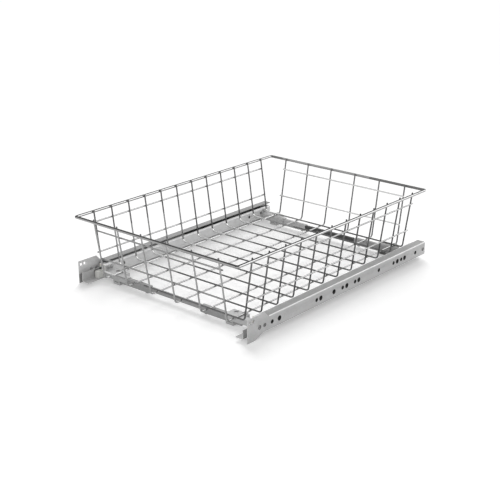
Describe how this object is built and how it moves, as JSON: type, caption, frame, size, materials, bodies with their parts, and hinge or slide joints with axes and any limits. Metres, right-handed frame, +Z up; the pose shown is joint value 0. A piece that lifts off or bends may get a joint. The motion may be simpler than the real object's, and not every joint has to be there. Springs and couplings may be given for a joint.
{
  "type": "pull out cabinet basket",
  "caption": "Chromed wire basket on telescopic crossbars between two full-extension soft-close cabinet runners.",
  "frame": {"origin": "under the middle of the basket, level with the feet of the crossbars' brackets", "axes": "+Z up; the basket pulls out along -Y, so the front is at -Y; +X to the right seen from the front"},
  "size_m": [0.3872, 0.5234, 0.129],
  "materials": {
    "zinc": "zinc-plated sheet steel, satin",
    "zinc_dark": "zinc-plated steel, darker satin",
    "chrome_wire": "polished chrome plating on welded wire",
    "plastic_white": "natural white polyamide",
    "plastic_grey": "grey polyamide"
  },
  "bodies": {
    "cabinet_side": {"cabinet_rail_left": "zinc", "cabinet_rail_right": "zinc", "running_track_left": "zinc", "running_track_right": "zinc", "spacer_rivets_left": "zinc_dark", "spacer_rivets_right": "zinc_dark", "end_buffer_left": "plastic_white", "end_buffer_right": "plastic_white", "softclose_housing_left": "plastic_grey", "softclose_housing_right": "plastic_grey", "damper_cylinder_left": "zinc_dark", "damper_cylinder_right": "zinc_dark", "softclose_spring_left": "zinc_dark", "softclose_spring_right": "zinc_dark"},
    "slider_left": {"softclose_slider_left": "plastic_white", "damper_rod_left": "zinc_dark"},
    "slider_right": {"softclose_slider_right": "plastic_white", "damper_rod_right": "zinc_dark"},
    "middle_left": {"middle_rail_left": "zinc"},
    "middle_right": {"middle_rail_right": "zinc"},
    "lower_rollers_left": {"lower_cage_left": "plastic_white", "lower_rollers_left": "zinc_dark"},
    "lower_rollers_right": {"lower_cage_right": "plastic_white", "lower_rollers_right": "zinc_dark"},
    "upper_rollers_left": {"upper_cage_left": "plastic_white", "upper_rollers_left": "zinc_dark"},
    "upper_rollers_right": {"upper_cage_right": "plastic_white", "upper_rollers_right": "zinc_dark"},
    "basket": {"drawer_rail_left": "zinc", "drawer_rail_right": "zinc", "rail_end_cap_left": "plastic_white", "rail_end_cap_right": "plastic_white", "catch_tab_left": "zinc_dark", "catch_tab_right": "zinc_dark", "bracket_front_left": "zinc", "bracket_front_right": "zinc", "bracket_rear_left": "zinc", "bracket_rear_right": "zinc", "sleeve_front_left": "zinc_dark", "sleeve_front_right": "zinc_dark", "sleeve_rear_left": "zinc_dark", "sleeve_rear_right": "zinc_dark", "crossbar_front": "zinc_dark", "crossbar_rear": "zinc_dark", "bracket_feet": "zinc", "bracket_rivets": "zinc_dark", "lock_screws": "zinc_dark", "basket_rim": "chrome_wire", "side_wires": "chrome_wire", "length_wires": "chrome_wire", "side_stringers": "chrome_wire", "end_stringers": "chrome_wire"}
  },
  "joints": [
    {"name": "basket_slide", "type": "slide", "parent": "cabinet_side", "child": "basket", "axis": [0, -1, 0], "range_m": [0, 0.47]},
    {"name": "middle_slide_left", "type": "slide", "parent": "cabinet_side", "child": "middle_left", "axis": [0, -1, 0], "range_m": [0, 0.235]},
    {"name": "lower_cage_slide_left", "type": "slide", "parent": "cabinet_side", "child": "lower_rollers_left", "axis": [0, -1, 0], "range_m": [0, 0.1175]},
    {"name": "upper_cage_slide_left", "type": "slide", "parent": "cabinet_side", "child": "upper_rollers_left", "axis": [0, -1, 0], "range_m": [0, 0.3525]},
    {"name": "softclose_slide_left", "type": "slide", "parent": "cabinet_side", "child": "slider_left", "axis": [0, -1, 0], "range_m": [0, 0.045], "stiffness_N_per_m": 60, "deforming": ["softclose_spring_left"]},
    {"name": "middle_slide_right", "type": "slide", "parent": "cabinet_side", "child": "middle_right", "axis": [0, -1, 0], "range_m": [0, 0.235]},
    {"name": "lower_cage_slide_right", "type": "slide", "parent": "cabinet_side", "child": "lower_rollers_right", "axis": [0, -1, 0], "range_m": [0, 0.1175]},
    {"name": "upper_cage_slide_right", "type": "slide", "parent": "cabinet_side", "child": "upper_rollers_right", "axis": [0, -1, 0], "range_m": [0, 0.3525]},
    {"name": "softclose_slide_right", "type": "slide", "parent": "cabinet_side", "child": "slider_right", "axis": [0, -1, 0], "range_m": [0, 0.045], "stiffness_N_per_m": 60, "deforming": ["softclose_spring_right"]}
  ],
  "couplings": [
    {"joint": "middle_slide_left", "follows": "basket_slide", "ratio": 0.5},
    {"joint": "lower_cage_slide_left", "follows": "basket_slide", "ratio": 0.25},
    {"joint": "upper_cage_slide_left", "follows": "basket_slide", "ratio": 0.75},
    {"joint": "middle_slide_right", "follows": "basket_slide", "ratio": 0.5},
    {"joint": "lower_cage_slide_right", "follows": "basket_slide", "ratio": 0.25},
    {"joint": "upper_cage_slide_right", "follows": "basket_slide", "ratio": 0.75}
  ]
}
